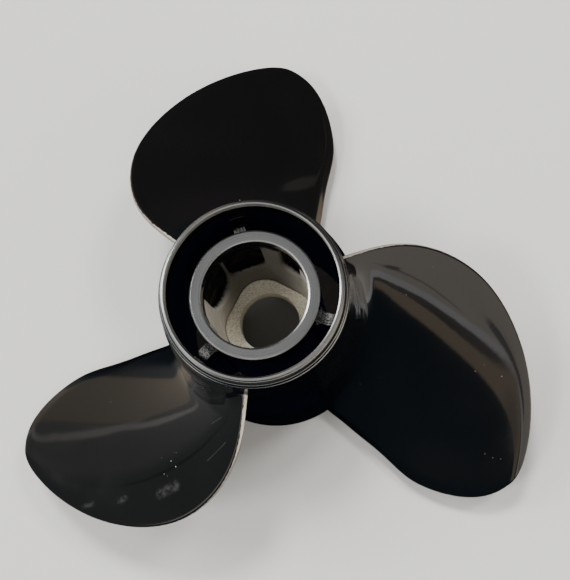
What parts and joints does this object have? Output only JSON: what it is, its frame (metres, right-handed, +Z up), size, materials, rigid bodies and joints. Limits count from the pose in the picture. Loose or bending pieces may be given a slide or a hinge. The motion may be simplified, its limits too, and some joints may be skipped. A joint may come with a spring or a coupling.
{
  "type": "outboard boat propeller with through-hub exhaust",
  "caption": "Right-handed boat propeller with skewed, raked blades on a hollow exhaust hub, gloss black with a machined stepped front and a bare cast drive socket.",
  "frame": {"origin": "on the shaft axis, in the plane of the aft end that the propeller stands on", "axes": "+Z up along the shaft, from the aft end to the forward end, and blade_1 points along +Y"},
  "size_m": [0.3003, 0.2898, 0.1442],
  "materials": {
    "gloss_black_paint": "gloss",
    "machined_aluminium": "fine turned",
    "cast_metal": "rough as cast"
  },
  "bodies": {
    "root": {"front_spigot": "machined_aluminium", "barrel": "gloss_black_paint", "aft_flare": "gloss_black_paint", "thrust_ring": "machined_aluminium", "inner_hub": "gloss_black_paint", "drive_socket": "cast_metal", "shaft_seat": "cast_metal", "rib_1": "gloss_black_paint", "rib_2": "gloss_black_paint", "rib_3": "gloss_black_paint", "blade_1": "gloss_black_paint", "blade_2": "gloss_black_paint", "blade_3": "gloss_black_paint"}
  },
  "joints": []
}
